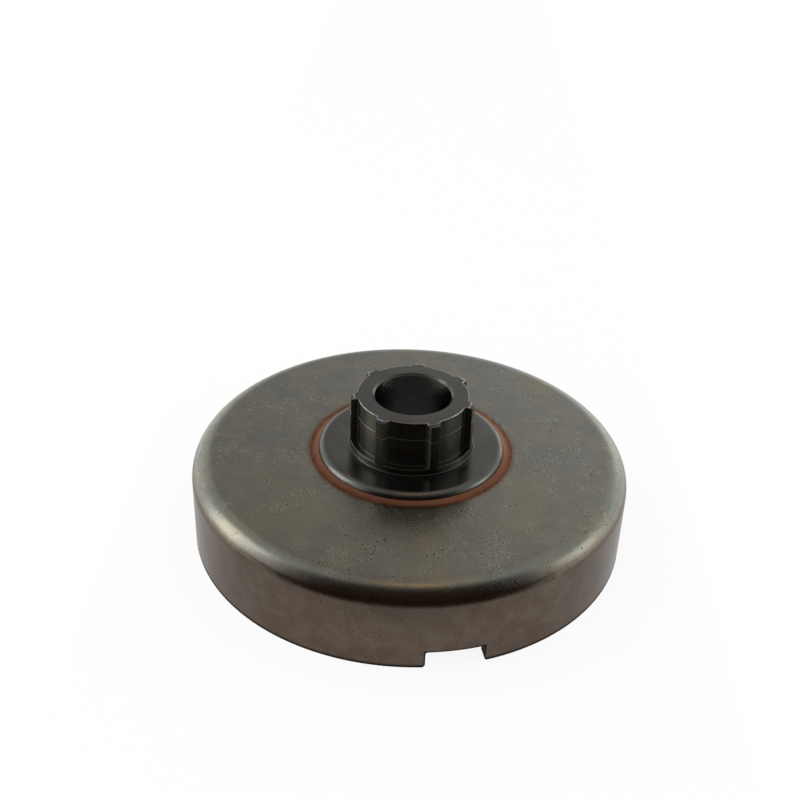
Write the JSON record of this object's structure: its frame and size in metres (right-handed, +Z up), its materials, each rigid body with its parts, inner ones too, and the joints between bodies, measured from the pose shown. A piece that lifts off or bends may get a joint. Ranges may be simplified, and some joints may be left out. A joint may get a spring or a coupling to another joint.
{
  "type": "chainsaw clutch drum with splined hub",
  "caption": "Steel clutch drum for a chainsaw: a drawn cup with a flanged, splined hub brazed to its web, a bearing bore through the hub and a drive notch in the rim.",
  "frame": {"origin": "middle of the rim's plane, on the drum's axis", "axes": "+Z up the drum's axis, from the open mouth to the splined end, -Y towards the front, with the notch on the +X side of it"},
  "size_m": [0.075, 0.075, 0.0262],
  "materials": {
    "drum_steel": "satin, lightly heat-tinted",
    "hub_steel": "dark, machined",
    "braze_copper": "matte copper braze"
  },
  "bodies": {
    "root": {"drum_cup": "drum_steel", "splined_hub": "hub_steel", "braze_ring": "braze_copper"}
  },
  "joints": []
}
